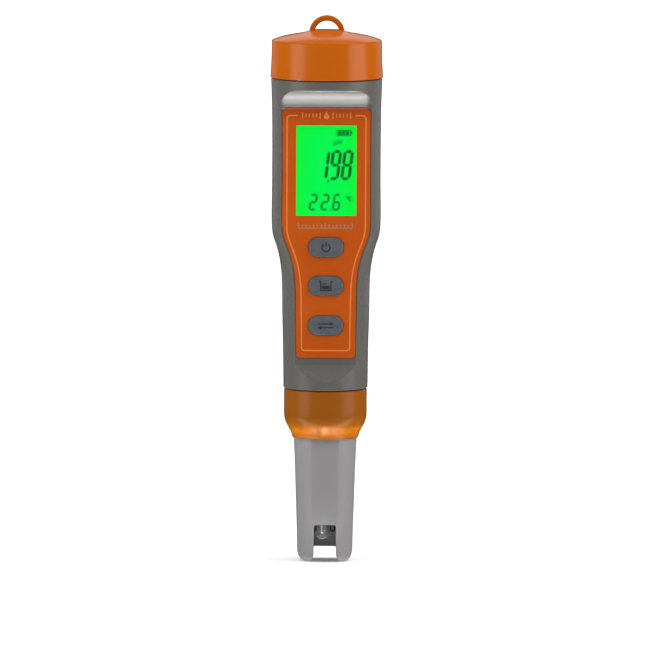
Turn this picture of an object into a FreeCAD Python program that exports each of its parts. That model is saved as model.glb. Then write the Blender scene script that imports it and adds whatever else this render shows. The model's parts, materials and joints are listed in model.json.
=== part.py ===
import FreeCAD, Part
import math
import os

from FreeCAD import Vector as V

os.makedirs("parts", exist_ok=True)

# ---------------------------------------------------------------------------
# Handheld pH meter, pen style.  Millimetres, +Z up, display faces -Y.
# Origin: on the instrument's axis, level with the tips of the two guard
# prongs at the lower end of the probe.
# ---------------------------------------------------------------------------

# ---- driving dimensions ----------------------------------------------------
TOTAL_H = 187.0            # prong tips to top of lanyard loop
BODY_Z0 = 59.3             # lower shoulder of the housing
BODY_Z1 = 165.5            # upper shoulder of the housing
WALL = 1.7                 # housing wall

# front flat
FLAT_Y = -10.2             # flat front face
FLAT_Z0 = 67.9             # lower end of the flat, where the ramp starts
FLAT_Z1 = 156.3            # upper end of the flat, where the scoop starts
SCOOP_R1, SCOOP_A = 5.0, 48.0    # first arc of the scoop and its angle
SCOOP_R2 = 8.5                   # second arc, up to level
RAMP_Y, RAMP_Z = -14.4, 62.5
WALL_IN_Y = -8.8           # inside face of the front wall

# overlay (printed front sheet) and its pocket
OVER_T = 0.30
POCKET_Y = -10.10
OVER_INSET = [(75.0, 0.36), (90.0, 0.74), (104.0, 0.72), (112.0, 0.62)]   # (z, distance from the flat's edge)
OVER_GAP = 0.12
OVER_Z0, OVER_Z1 = 70.3, 156.0

# display
LCD_W, LCD_H, LCD_Z = 20.6, 30.9, 134.5

# keys
KEY_W, KEY_H = 12.0, 6.7
KEY_Z = {"power": 108.3, "cal": 95.0, "mode": 81.4}
KEY_TOP_Y = -11.15
KEY_TRAVEL = 0.35

# upper neck and battery cap
PITCH = 3.0
NECK_R, NECK_IN_R = 17.1, 16.15
NECK_Z1 = 173.5
CAP_BORE_R = 17.75
CAP_Z0, CAP_RIM_Z = 165.8, 178.9
CAP_CEIL_Z = 176.0
DOME_R, DOME_Z = 5.2, 182.0
LOOP_Z, LOOP_RO, LOOP_RI, LOOP_T = 180.9, 6.1, 4.25, 3.4

# lower neck, collar and probe
LNECK_R, LNECK_IN_R = 11.9, 10.5
LNECK_Z0 = 49.0
COLLAR_R, COLLAR_Z0, COLLAR_Z1 = 14.2, 42.3, 59.0
COLLAR_BORE_R = 12.6
PRONG_GAP = 3.8            # half width of the slot between the prongs
PRONG_R = 2.7
WINDOW_Z = 12.7
SLOT_Z = 4.15

# cells
CELL_R, CELL_L = 5.0, 44.5
CELL_X = 5.05
CELL_Y = (-0.62, 9.48)
CELL_Z0 = 126.6

# circuit board
PCB_Y0, PCB_Y1 = -6.85, -6.05


# ---- helpers ----------------------------------------------------------------
def cyl(r, z0, z1, x=0.0, y=0.0):
    return Part.makeCylinder(r, z1 - z0, V(x, y, z0), V(0, 0, 1))


def cyl_y(r, y0, y1, x, z):
    return Part.makeCylinder(r, y1 - y0, V(x, y0, z), V(0, 1, 0))


def box(x0, x1, y0, y1, z0, z1):
    return Part.makeBox(x1 - x0, y1 - y0, z1 - z0, V(x0, y0, z0))


def ring(ro, ri, z0, z1, x=0.0, y=0.0):
    return cyl(ro, z0, z1, x, y).cut(cyl(ri, z0 - 1, z1 + 1, x, y))


def revolve(pts):
    """Closed polygon of (r, z) turned about the Z axis."""
    v = [V(r, 0, z) for r, z in pts]
    v.append(v[0])
    return Part.Face(Part.makePolygon(v)).revolve(V(0, 0, 0), V(0, 0, 1), 360)


def revolve_edges(edges):
    return Part.Face(Part.Wire(edges)).revolve(V(0, 0, 0), V(0, 0, 1), 360)


def spline(pts):
    c = Part.BSplineCurve()
    c.interpolate([V(r, 0, z) for r, z in pts])
    return c.toShape()


def line(a, b):
    return Part.LineSegment(V(a[0], 0, a[1]), V(b[0], 0, b[1])).toShape()


def arc3(a, m, b):
    return Part.Arc(V(a[0], 0, a[1]), V(m[0], 0, m[1]), V(b[0], 0, b[1])).toShape()


def prism_y(pts, y0, y1):
    """Polygon of (x, z) pushed from y0 to y1."""
    v = [V(x, y0, z) for x, z in pts]
    v.append(v[0])
    return Part.Face(Part.makePolygon(v)).extrude(V(0, y1 - y0, 0))


def prism_x(pts, x0, x1):
    """Polygon of (y, z) pushed from x0 to x1."""
    v = [V(x0, y, z) for y, z in pts]
    v.append(v[0])
    return Part.Face(Part.makePolygon(v)).extrude(V(x1 - x0, 0, 0))


def rrect(w, h, rad, y0, y1, cx, cz):
    """Rounded rectangle, w along X and h along Z, pushed from y0 to y1."""
    hx, hz = w / 2.0, h / 2.0
    rad = min(rad, hx - 1e-3, hz - 1e-3)
    k = rad * (1 - math.sqrt(0.5))

    def p(x, z):
        return V(cx + x, y0, cz + z)

    e = []
    corners = [(hx, hz, 1, 1), (-hx, hz, -1, 1), (-hx, -hz, -1, -1), (hx, -hz, 1, -1)]
    segs = []
    for x, z, sx, sz in corners:
        a = (x, z - sz * rad)
        m = (x - sx * k, z - sz * k)
        b = (x - sx * rad, z)
        if sx * sz < 0:
            a, b = b, a
        segs.append((a, m, b))
    for i, (a, m, b) in enumerate(segs):
        e.append(Part.Arc(p(*a), p(*m), p(*b)).toShape())
        n = segs[(i + 1) % 4][0]
        if math.hypot(b[0] - n[0], b[1] - n[1]) > 1e-6:
            e.append(Part.LineSegment(p(*b), p(*n)).toShape())
    return Part.Face(Part.Wire(e)).extrude(V(0, y1 - y0, 0))


def torus(rc, rs, z, x=0.0, y=0.0):
    return Part.makeTorus(rc, rs, V(x, y, z), V(0, 0, 1))


def thread_ridge(r_root, r_crest, z0, turns, width, inward=False):
    """Right-hand helical ridge.  Its foot is sunk into the wall it grows from."""
    foot = r_root + (0.35 if inward else -0.35)
    h = Part.makeHelix(PITCH, PITCH * turns, foot)
    w = width / 2.0
    v = [V(r, 0, z) for r, z in ((foot, -w), (r_crest, -w * 0.45), (r_crest, w * 0.45), (foot, w))]
    v.append(v[0])
    s = Part.Wire(h.Edges).makePipeShell([Part.makePolygon(v)], True, True)
    s.rotate(V(0, 0, 0), V(0, 0, 1), 37.0)
    s.translate(V(0, 0, z0))
    return s


def fuse(*s):
    out = s[0]
    for t in s[1:]:
        out = out.fuse(t)
    return out.removeSplitter()


def try_fillet(shape, r, pick):
    es = [e for e in shape.Edges if pick(e)]
    if not es:
        return shape
    try:
        f = shape.makeFillet(r, es)
        if f.isValid() and len(f.Solids) == len(shape.Solids) and f.Volume > 0:
            return f
    except Exception as err:
        print("  fillet", r, "left off:", str(err)[:60])
    return shape


OUT = {}


def save(name, shape):
    OUT[name] = shape
    shape.exportStep("parts/%s.step" % name)
    bb = shape.BoundBox
    print("%-24s solids %d valid %s vol %.1f  x %.2f..%.2f y %.2f..%.2f z %.2f..%.2f" % (
        name, len(shape.Solids), shape.isValid(), shape.Volume,
        bb.XMin, bb.XMax, bb.YMin, bb.YMax, bb.ZMin, bb.ZMax))


def group(name, solids):
    save(name, Part.makeCompound(solids))


# ---- profile of the housing -------------------------------------------------
PROFILE = [
    (14.46, 59.6), (14.53, 67.0), (14.68, 76.0), (14.95, 86.0), (15.02, 93.0),
    (15.14, 97.0), (15.42, 100.3), (15.84, 103.2), (16.42, 105.9), (17.22, 108.6),
    (18.10, 111.2), (18.58, 114.2), (18.72, 118.5), (18.64, 126.0), (18.60, 140.0),
    (18.66, 151.0), (19.04, 165.2),
]


def profile_r(z):
    """Straight-line reading of the housing profile, good to 0.02 mm."""
    if z <= PROFILE[0][1]:
        return PROFILE[0][0]
    for (r0, z0), (r1, z1) in zip(PROFILE, PROFILE[1:]):
        if z <= z1:
            return r0 + (r1 - r0) * (z - z0) / (z1 - z0)
    return PROFILE[-1][0]


def flat_half(z):
    return math.sqrt(profile_r(z) ** 2 - FLAT_Y ** 2)


def sheet_half(z):
    """Half width of the front sheet: the flat's edge less an inset that varies a little."""
    t = OVER_INSET
    if z <= t[0][0]:
        k = t[0][1]
    elif z >= t[-1][0]:
        k = t[-1][1]
    else:
        for (z0, k0), (z1, k1) in zip(t, t[1:]):
            if z <= z1:
                k = k0 + (k1 - k0) * (z - z0) / (z1 - z0)
                break
    return flat_half(z) - k


def sheet_prism(grow, z0, z1, top_r, bot_r, y0, y1):
    """Front-sheet shape: straight ends joined by one smooth spline a side."""
    xb = sheet_half(z0) + grow
    xt = sheet_half(z1) + grow
    za, zb = z0 + bot_r, z1 - top_r
    n = 22
    zs = [za + (zb - za) * i / n for i in range(n + 1)]
    right = [V(sheet_half(z) + grow, y0, z) for z in zs]
    left = [V(-p.x, y0, p.z) for p in right]

    def sp(ps):
        c = Part.BSplineCurve()
        c.approximate(Points=ps, Tolerance=0.02, DegMin=3, DegMax=5)
        return c

    cr = sp(right)
    a = cr.value(cr.FirstParameter)
    b = cr.value(cr.LastParameter)
    cl = sp(left)
    al = cl.value(cl.FirstParameter)
    bl = cl.value(cl.LastParameter)
    q = 1 - math.sqrt(0.5)

    def V3(x, z):
        return V(x, y0, z)

    edges = []
    xb, xt = a.x, b.x
    # bottom edge, bottom right corner, right side, top right, top, top left,
    # left side, bottom left
    edges.append(Part.LineSegment(V3(-(xb - bot_r), z0), V3(xb - bot_r, z0)).toShape())
    edges.append(Part.Arc(V3(xb - bot_r, z0), V3(xb - bot_r * q, z0 + bot_r * q), a).toShape())
    edges.append(cr.toShape())
    edges.append(Part.Arc(b, V3(xt - top_r * q, z1 - top_r * q), V3(xt - top_r, z1)).toShape())
    edges.append(Part.LineSegment(V3(xt - top_r, z1), V3(-(xt - top_r), z1)).toShape())
    edges.append(Part.Arc(V3(-(xt - top_r), z1), V3(-(xt - top_r * q), z1 - top_r * q), bl).toShape())
    edges.append(cl.toShape())
    edges.append(Part.Arc(al, V3(-(xb - bot_r * q), z0 + bot_r * q), V3(-(xb - bot_r), z0)).toShape())
    w = Part.Wire(Part.__sortEdges__(edges))
    return Part.Face(w).extrude(V(0, y1 - y0, 0))


# ---- main housing -----------------------------------------------------------
def make_housing():
    top = PROFILE[-1]
    bot = PROFILE[0]
    outer = revolve_edges([
        line((0, BODY_Z0), (bot[0] - 0.3, BODY_Z0)),
        line((bot[0] - 0.3, BODY_Z0), bot),
        spline(PROFILE),
        line(top, (top[0] - 0.3, BODY_Z1)),
        line((top[0] - 0.3, BODY_Z1), (0, BODY_Z1)),
        line((0, BODY_Z1), (0, BODY_Z0)),
    ])

    # flat, scoop above it and ramp below it, cut as one trough along X
    a1 = math.radians(SCOOP_A)

    def scoop(a):
        """Point of the scoop's section at slope angle a from upright."""
        if a <= a1:
            return FLAT_Y - SCOOP_R1 * (1 - math.cos(a)), FLAT_Z1 + SCOOP_R1 * math.sin(a)
        y, z = scoop(a1)
        return y - SCOOP_R2 * (math.cos(a1) - math.cos(a)), z + SCOOP_R2 * (math.sin(a) - math.sin(a1))

    slope = (FLAT_Z0 - RAMP_Z) / (FLAT_Y - RAMP_Y)
    far = -26.0

    def P(y, z):
        return V(-30, y, z)

    pA = P(FLAT_Y, FLAT_Z0)
    pB = P(FLAT_Y, FLAT_Z1)
    pM = P(*scoop(a1 / 2))
    pC = P(*scoop(a1))
    pN = P(*scoop((a1 + math.pi / 2) / 2))
    pT = P(*scoop(math.pi / 2))
    pD = P(far, pT.z + 0.25)
    pE = P(far, FLAT_Z0 - (FLAT_Y - far) * slope)
    w = Part.Wire([
        Part.LineSegment(pA, pB).toShape(),
        Part.Arc(pB, pM, pC).toShape(),
        Part.Arc(pC, pN, pT).toShape(),
        Part.LineSegment(pT, pD).toShape(),
        Part.LineSegment(pD, pE).toShape(),
        Part.LineSegment(pE, pA).toShape(),
    ])
    trough = Part.Face(w).extrude(V(60, 0, 0))
    body = outer.cut(trough)

    # soften the whole rim where the trough meets the round body
    body = try_fillet(body, 0.32, lambda e: (
        isinstance(e.Curve, Part.BSplineCurve) and e.BoundBox.YMax < FLAT_Y + 0.01))

    # necks
    body = body.fuse(cyl(NECK_R, BODY_Z1 - 2, NECK_Z1))
    body = body.fuse(cyl(LNECK_R, LNECK_Z0, BODY_Z0 + 2))

    # inside
    inner = [(r - WALL, z) for r, z in PROFILE if 61.5 < z < 164.0]
    inner = [(14.40 - WALL, 61.5)] + inner + [(18.9 - WALL, 163.9)]
    cav = revolve_edges([
        line((0, 61.5), inner[0]),
        spline(inner),
        line(inner[-1], (0, inner[-1][1])),
        line((0, inner[-1][1]), (0, 61.5)),
    ])
    cav = cav.common(box(-30, 30, WALL_IN_Y, 30, 50, 170))
    cav = cav.fuse(cyl(NECK_IN_R, 164.2 - 0.31, NECK_Z1 + 1).common(
        fuse(box(-30, 30, WALL_IN_Y, 30, 160, 180), box(-30, 30, -30, 30, 164.2, 180))))
    body = body.cut(cav)
    body = body.cut(cyl(LNECK_IN_R, LNECK_Z0 - 1, 62.0))

    # o-ring groove round the upper neck
    body = body.cut(ring(20.0, 16.72, 165.95, 167.05).cut(
        ring(30.0, NECK_R + 0.01, 160, 180)))
    # pocket for the front sheet
    body = body.cut(sheet_prism(OVER_GAP, OVER_Z0 - OVER_GAP, OVER_Z1 + OVER_GAP,
                                2.1, 1.4, FLAT_Y - 1.0, POCKET_Y))
    # window step and window
    body = body.cut(box(-12.55, 12.55, -10.6, -9.3, LCD_Z - 17.55, LCD_Z + 17.55))
    body = body.cut(box(-11.3, 11.3, -10.6, -8.0, LCD_Z - 16.3, LCD_Z + 16.3))
    # key openings
    for z in KEY_Z.values():
        body = body.cut(rrect(KEY_W + 0.30, KEY_H + 0.30, 3.3, -11.5, -8.0, 0, z))

    # screw posts behind the front wall, two high and two low
    for x, z in SCREWS:
        post = cyl_y(1.9, WALL_IN_Y - 0.3, PCB_Y0, x, z)
        body = body.fuse(post)
    for x, z in SCREWS:
        body = body.cut(cyl_y(1.0, WALL_IN_Y + 0.0, PCB_Y0 + 1, x, z))

    body = body.removeSplitter()
    return body


SCREWS = [(-12.35, 155.4), (12.35, 155.4), (-8.5, 73.2), (8.5, 73.2)]

housing = make_housing()
housing = housing.fuse(thread_ridge(NECK_R, 17.55, 168.6, 1.25, 1.10))
housing = housing.fuse(thread_ridge(LNECK_R, 12.40, 51.2, 2.0, 1.10))
# two slots in the upper neck that keep the contact disc from turning
for sx in (-1, 1):
    housing = housing.cut(box(min(sx * 15.5, sx * 18.5), max(sx * 15.5, sx * 18.5),
                              -1.5, 1.5, 171.5, NECK_Z1 + 1))
save("main_housing", housing)

# ---- front sheet, window, display -------------------------------------------
overlay = sheet_prism(0.0, OVER_Z0, OVER_Z1, 2.0, 1.3, POCKET_Y - OVER_T, POCKET_Y)
overlay = overlay.cut(rrect(LCD_W, LCD_H, 0.15, -11, -9, 0, LCD_Z))
for z in KEY_Z.values():
    overlay = overlay.cut(rrect(KEY_W + 0.24, KEY_H + 0.24, 3.3, -11, -9, 0, z))
save("front_overlay", overlay)

save("lcd_window", box(-12.5, 12.5, POCKET_Y, -9.32, LCD_Z - 17.5, LCD_Z + 17.5))

frame_o = box(-13.4, 13.4, -8.75, -6.9, LCD_Z - 18.65, LCD_Z + 18.65)
frame_i = box(-12.6, 12.6, -9.0, -6.0, LCD_Z - 18.15, LCD_Z + 18.15)
save("lcd_frame", frame_o.cut(frame_i))
save("lcd_glass", box(-12.5, 12.5, -8.70, -7.60, LCD_Z - 18.0, LCD_Z + 18.0))
save("backlight_panel", box(-11.6, 11.6, -7.55, -6.95, LCD_Z - 15.9, LCD_Z + 15.9))
group("zebra_strips", [
    box(-11.0, 11.0, -7.55, -6.90, LCD_Z - 17.8, LCD_Z - 16.4),
    box(-11.0, 11.0, -7.55, -6.90, LCD_Z + 16.4, LCD_Z + 17.8),
])
group("backlight_leds", [
    box(x0, x0 + 0.7, -7.4, -6.88, LCD_Z + dz, LCD_Z + dz + 1.6)
    for x0 in (-12.45, 11.75) for dz in (-9.0, 6.0)
])

# ---- circuit board and what is on it -----------------------------------------
pcb = prism_y([(-9.7, 69.8), (9.7, 69.8), (9.7, 108.0), (14.1, 114.5), (14.1, 157.3),
               (-14.1, 157.3), (-14.1, 114.5), (-9.7, 108.0)], PCB_Y0, PCB_Y1)
for x, z in SCREWS:
    pcb = pcb.cut(cyl_y(1.15, -8, -5, x, z))
save("main_pcb", pcb)

screws = []
for x, z in SCREWS:
    s = cyl_y(0.95, -8.6, PCB_Y1 + 0.02, x, z).fuse(cyl_y(1.75, PCB_Y1 + 0.02, PCB_Y1 + 1.1, x, z))
    s = s.cut(box(x - 1.2, x + 1.2, PCB_Y1 + 0.6, PCB_Y1 + 2, z - 0.22, z + 0.22))
    s = s.cut(box(x - 0.22, x + 0.22, PCB_Y1 + 0.6, PCB_Y1 + 2, z - 1.2, z + 1.2))
    screws.append(s.removeSplitter())
group("board_screws", screws)

chip = box(-3.5, 3.5, PCB_Y1 + 0.15, PCB_Y1 + 1.25, 97.0, 104.0)
legs = []
for i in range(8):
    z = 97.55 + i * 0.77
    for sx in (-1, 1):
        x0 = 3.5 if sx > 0 else -4.4
        legs.append(box(x0, x0 + 0.9, PCB_Y1 + 0.02, PCB_Y1 + 0.4, z, z + 0.3))
save("controller_chip", fuse(chip, *legs))
save("amplifier_chip", box(-5.6, -1.8, PCB_Y1 + 0.02, PCB_Y1 + 1.2, 85.0, 89.6))
save("crystal_can", rrect(7.2, 3.0, 1.45, PCB_Y1 + 0.02, PCB_Y1 + 2.4, 2.8, 92.4))
caps = []
for x, z in ((-7.6, 103.0), (-7.6, 100.0), (-7.6, 97.0), (6.6, 101.5), (6.6, 98.4),
             (1.2, 87.5), (3.6, 87.5), (6.0, 87.5), (-7.6, 82.0), (-5.2, 82.0), (2.4, 83.2)):
    caps.append(box(x - 0.5, x + 0.5, PCB_Y1 + 0.02, PCB_Y1 + 0.65, z - 1.0, z + 1.0))
group("board_components", caps)
save("buzzer_can", cyl_y(4.1, PCB_Y1 + 0.02, PCB_Y1 + 3.2, 4.2, 77.6).cut(
    cyl_y(0.7, PCB_Y1 + 2.6, PCB_Y1 + 4, 4.2, 77.6)))

# ---- keys: silicone seal, keycaps, switch bases and plungers ------------------
seal = box(-9.2, 9.2, -8.78, -8.42, 76.2, 113.4)
for z in KEY_Z.values():
    seal = seal.cut(rrect(14.4, 9.1, 4.5, -9.5, -8.0, 0, z))
save("keypad_seal", seal)

bases = []
for key, z in KEY_Z.items():
    cap = rrect(KEY_W, KEY_H, 3.2, KEY_TOP_Y, -8.68, 0, z)
    cap = try_fillet(cap, 0.55, lambda e: abs(e.BoundBox.YMax - KEY_TOP_Y) < 1e-4)
    cap = cap.fuse(rrect(13.8, 8.5, 4.1, -8.68, -8.30, 0, z))
    cap = cap.fuse(cyl_y(1.6, -8.31, -8.0, 0, z)).removeSplitter()
    save("%s_key" % key, cap)
    save("%s_plunger" % key, cyl_y(1.5, -7.98, -7.45, 0, z))
    b = box(-3.0, 3.0, -7.70, PCB_Y0 - 0.02, z - 3.0, z + 3.0).cut(cyl_y(1.62, -8, -6, 0, z))
    bases.append(b)
group("switch_bases", bases)

# ---- battery compartment ------------------------------------------------------
cage = box(-10.45, 10.45, -6.0, 20, 123.0, 171.0).common(cyl(16.0, 120, 175))
cage = cage.common(box(-20, 20, -6.0, 15.2, 120, 175))
for sx in (-1, 1):
    for y in CELL_Y:
        cage = cage.cut(cyl(CELL_R + 0.1, 124.2, 172.0, sx * CELL_X, y))
cage = cage.cut(box(-20, 20, 12.0, 20, 133.0, 162.0))
save("battery_cage", cage.removeSplitter())

for i, (sx, y) in enumerate(((-1, CELL_Y[0]), (1, CELL_Y[0]), (-1, CELL_Y[1]), (1, CELL_Y[1]))):
    x = sx * CELL_X
    up = i in (0, 3)
    z0, z1 = CELL_Z0, CELL_Z0 + CELL_L
    if up:
        c = cyl(CELL_R, z0, z1 - 0.9, x, y).fuse(cyl(1.8, z1 - 0.9, z1, x, y))
    else:
        c = cyl(CELL_R, z0 + 0.9, z1, x, y).fuse(cyl(1.8, z0, z0 + 0.9, x, y))
    save("battery_cell_%d" % (i + 1), c.removeSplitter())

lower = []
for sx in (-1, 1):
    for y in CELL_Y:
        x = sx * CELL_X
        # bent leaf spring: foot on the cage floor, tongue up to the cell
        leaf = prism_x([(y - 3.2, 124.22), (y + 3.2, 124.22), (y + 3.2, 124.52), (y - 2.2, 124.52),
                        (y + 1.6, 126.25), (y + 1.6, 126.57), (y + 0.6, 126.57),
                        (y - 3.2, 124.84)], x - 1.6, x + 1.6)
        lower.append(leaf)
group("battery_springs", lower)

leads = []
for x in (-7.6, 7.6):
    # out of the cage floor, down and forward to the board
    leads.append(fuse(cyl(0.5, 116.5, 122.98, x, -4.9),
                      cyl_y(0.5, PCB_Y1 + 0.02, -4.9, x, 116.5),
                      Part.makeSphere(0.5, V(x, -4.9, 116.5))))
group("battery_leads", leads)

# ---- upper o-ring, contact disc, battery cap ------------------------------------
save("cap_o_ring", torus(17.22, 0.48, 166.5))

disc = cyl(15.85, 171.95, 174.0).fuse(cyl(1.5, 174.0, 178.0))
for sx in (-1, 1):
    disc = disc.fuse(box(min(sx * 15.0, sx * 16.9), max(sx * 15.0, sx * 16.9), -1.2, 1.2, 171.95, 173.3))
disc = try_fillet(disc.removeSplitter(), 0.4, lambda e: abs(e.BoundBox.ZMin - 178.0) < 1e-4)
save("contact_disc", disc)
strips = []
for y in CELL_Y:
    st = rrect(14.6, 5.0, 2.4, 0, 0.6, 0, 0)
    st.rotate(V(0, 0, 0), V(1, 0, 0), 90)          # lay flat, thickness along Z
    bb = st.BoundBox
    st.translate(V(0, y - (bb.YMin + bb.YMax) / 2.0, 171.33 - bb.ZMin))
    for sx in (-1, 1):
        st = st.fuse(cyl(1.3, 171.16, 171.6, sx * CELL_X, y))
    strips.append(st.removeSplitter())
group("contact_strips", strips)
save("disc_washer", ring(3.2, 1.6, 174.03, 174.33))

q = math.sqrt(0.5)
cap_outer = revolve_edges([
    line((0, CAP_Z0), (19.2, CAP_Z0)),
    line((19.2, CAP_Z0), (19.3, CAP_Z0 + 0.1)),
    spline([(19.3, CAP_Z0 + 0.1), (19.0, 171.0), (18.86, CAP_RIM_Z - 0.8)]),
    arc3((18.86, CAP_RIM_Z - 0.8), (18.86 - 0.75 * (1 - q), CAP_RIM_Z - 0.8 + 0.7 * q), (18.11, CAP_RIM_Z - 0.1)),
    spline([(18.11, CAP_RIM_Z - 0.1), (15.0, 179.87), (11.6, 180.58), (8.2, 181.2), (6.7, 181.56), (DOME_R, DOME_Z)]),
    line((DOME_R, DOME_Z), (0, DOME_Z + 0.12)),
    line((0, DOME_Z + 0.12), (0, CAP_Z0)),
])
loop = cyl_y(LOOP_RO, -LOOP_T / 2, LOOP_T / 2, 0, LOOP_Z).cut(cyl_y(LOOP_RI, -5, 5, 0, LOOP_Z))
loop = try_fillet(loop, 0.55, lambda e: True)
loop = loop.common(box(-10, 10, -5, 5, 179.9, 190))
cap = cap_outer.fuse(loop)
hollow = revolve([(0, CAP_Z0 - 1), (CAP_BORE_R, CAP_Z0 - 1), (CAP_BORE_R, CAP_CEIL_Z - 0.6),
                  (CAP_BORE_R - 0.6, CAP_CEIL_Z), (12.6, CAP_CEIL_Z), (6.2, 179.3), (0, 179.3)])
hollow = hollow.cut(cyl(3.3, 174.4, 180.0))
cap = cap.cut(hollow).cut(cyl(1.62, 174.0, 178.5))
cap = cap.removeSplitter()
cap = cap.fuse(thread_ridge(CAP_BORE_R, 17.32, 168.6 + PITCH / 2.0, 1.2, 1.00, inward=True))
save("battery_cap", cap)

# ---- probe socket in the lower neck ----------------------------------------------
PINS = [(5.0 * math.cos(math.radians(a)), 5.0 * math.sin(math.radians(a))) for a in range(30, 390, 60)]
sock = cyl(10.4, 54.5, 61.6).fuse(cyl(12.4, 61.55, 63.0).common(box(-15, 15, -8.6, 15, 60, 64)))
sock = sock.cut(ring(12.0, 9.55, 57.4, 58.6))
for x, y in PINS:
    sock = sock.cut(cyl(0.5, 50, 70, x, y))
save("probe_socket", sock.removeSplitter())
group("socket_pins", [cyl(0.45, 50.4, 64.4, x, y).fuse(Part.makeSphere(0.45, V(x, y, 50.4))).removeSplitter()
                      for x, y in PINS])
save("socket_o_ring", torus(9.99, 0.43, 58.0))
# flat flexible lead from the pins to the back of the board
save("ribbon_lead", prism_x([(-3.4, 64.45), (3.4, 64.45), (3.4, 64.85), (-2.4, 64.85),
                             (-4.4, 66.6), (-4.4, 71.0), (PCB_Y1 + 0.02, 72.6),
                             (PCB_Y1 + 0.02, 72.1), (-4.8, 70.8), (-4.8, 66.4), (-3.4, 65.0)],
                            -4.2, 4.2))

# ---- probe ---------------------------------------------------------------------
PROBE = [(9.45, 2.4), (9.70, 12.4), (9.98, 20.6), (10.38, 33.0), (10.78, 41.2)]
pb = revolve_edges([
    line((0, 0), (7.4, 0)),
    arc3((7.4, 0), (7.4 + 2.02 * q, 2.1 * (1 - q) + 0.08), PROBE[0]),
    spline(PROBE),
    line(PROBE[-1], (10.75, 46.6)),
    line((10.75, 46.6), (11.75, 46.6)),
    line((11.75, 46.6), (11.75, 48.0)),
    line((11.75, 48.0), (10.2, 48.0)),
    line((10.2, 48.0), (10.2, 53.0)),
    line((10.2, 53.0), (0, 53.0)),
    line((0, 53.0), (0, 0)),
])
# shallow flats front and back
for sy in (-1, 1):
    pb = pb.cut(prism_x([(sy * 8.25, -1.0), (sy * 9.62, 41.2), (sy * 9.62, 44.0), (sy * 13.0, 44.0),
                         (sy * 13.0, -1.0)], -12, 12))
# prongs with round tips, side view along Y
keep = box(-12, 12, -12, 12, PRONG_R, 60)
for sx in (-1, 1):
    keep = keep.fuse(cyl_y(PRONG_R, -12, 12, sx * (PRONG_GAP + PRONG_R), PRONG_R))
    keep = keep.fuse(box(min(sx * 6.5, sx * 6.6), max(sx * 6.5, sx * 6.6), -12, 12, 0, PRONG_R))
pb = pb.common(keep)
pb = pb.cut(rrect(2 * PRONG_GAP, SLOT_Z + 12, 0.45, -14, 14, 0, (SLOT_Z - 12) / 2.0))
pb = pb.cut(rrect(2 * PRONG_GAP, WINDOW_Z + 12, 0.8, -14, 4.5, 0, (WINDOW_Z - 12) / 2.0))
# hollow for the electrolyte and the glass stem
pb = pb.cut(cyl(8.2, 15.0, 54.0).common(
    box(-20, 20, -7.7, 7.7, 0, 60)))
pb = pb.cut(ring(12, 9.55, 50.0, 51.2).common(ring(13, 9.55, 49, 52)))
BULB = (-1.0, -0.6, 9.6)
SENSOR = (2.65, -0.9)
JUNCTION = (1.5, 2.9)
pb = pb.cut(cyl(2.2, 12, 16, BULB[0], BULB[1]))
pb = pb.cut(cyl(1.05, 12, 16, *SENSOR)).cut(cyl(0.95, 12, 16, *JUNCTION))
pb = pb.removeSplitter()
save("probe_shell", pb)

bulb = Part.makeSphere(2.6, V(*BULB)).fuse(cyl(2.1, BULB[2], 13.2, BULB[0], BULB[1]))
bulb = bulb.cut(Part.makeSphere(2.25, V(*BULB)).fuse(cyl(1.6, BULB[2], 14.0, BULB[0], BULB[1])))
save("glass_bulb", bulb.removeSplitter())
save("glass_stem", ring(2.1, 1.5, 13.25, 45.0, BULB[0], BULB[1]))
save("inner_wire", cyl(0.3, 9.0, 47.5, BULB[0], BULB[1]))
save("potting_disc", cyl(8.1, 15.05, 17.5).common(box(-20, 20, -7.6, 7.6, 0, 60)).cut(
    cyl(2.15, 15, 18, BULB[0], BULB[1])).cut(cyl(1.05, 15, 18, *SENSOR)).cut(cyl(0.95, 15, 18, *JUNCTION)))
save("temperature_sensor", cyl(1.0, 10.6, 24.0, *SENSOR).fuse(
    Part.makeSphere(1.0, V(SENSOR[0], SENSOR[1], 10.6))).removeSplitter())
save("reference_junction", cyl(0.9, 12.0, 19.0, *JUNCTION))
plug = cyl(8.1, 47.6, 52.4).common(box(-20, 20, -7.6, 7.6, 40, 60))
plug = plug.cut(cyl(0.5, 47, 48.6, BULB[0], BULB[1]))
for x, y in PINS:
    plug = plug.cut(cyl(0.95, 47, 53, x, y))
save("probe_plug", plug)
group("plug_sleeves", [ring(0.9, 0.62, 47.7, 53.2, x, y) for x, y in PINS])
save("probe_o_ring", torus(9.99, 0.43, 50.6))
save("collar_gasket", ring(11.6, 10.4, 48.05, 48.85))

# ---- lock collar ---------------------------------------------------------------
collar = revolve_edges([
    line((COLLAR_BORE_R, COLLAR_Z1), (COLLAR_R - 0.25, COLLAR_Z1)),
    line((COLLAR_R - 0.25, COLLAR_Z1), (COLLAR_R, COLLAR_Z1 - 0.25)),
    line((COLLAR_R, COLLAR_Z1 - 0.25), (COLLAR_R, 50.6)),
    spline([(COLLAR_R, 50.6), (13.80, 48.1), (12.98, 46.2), (12.2, 44.8), (11.5, 43.0)]),
    line((11.5, 43.0), (11.3, COLLAR_Z0)),
    line((11.3, COLLAR_Z0), (11.1, COLLAR_Z0)),
    line((11.1, COLLAR_Z0), (10.96, COLLAR_Z0)),
    line((10.96, COLLAR_Z0), (10.96, 46.4)),
    line((10.96, 46.4), (12.0, 46.4)),
    line((12.0, 46.4), (12.0, 48.3)),
    line((12.0, 48.3), (COLLAR_BORE_R, 48.3)),
    line((COLLAR_BORE_R, 48.3), (COLLAR_BORE_R, COLLAR_Z1)),
])
collar = collar.fuse(thread_ridge(COLLAR_BORE_R, 12.15, 51.2 + PITCH / 2.0, 1.7, 1.00, inward=True))
save("lock_collar", collar)

print("nodes", len(OUT))
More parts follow.
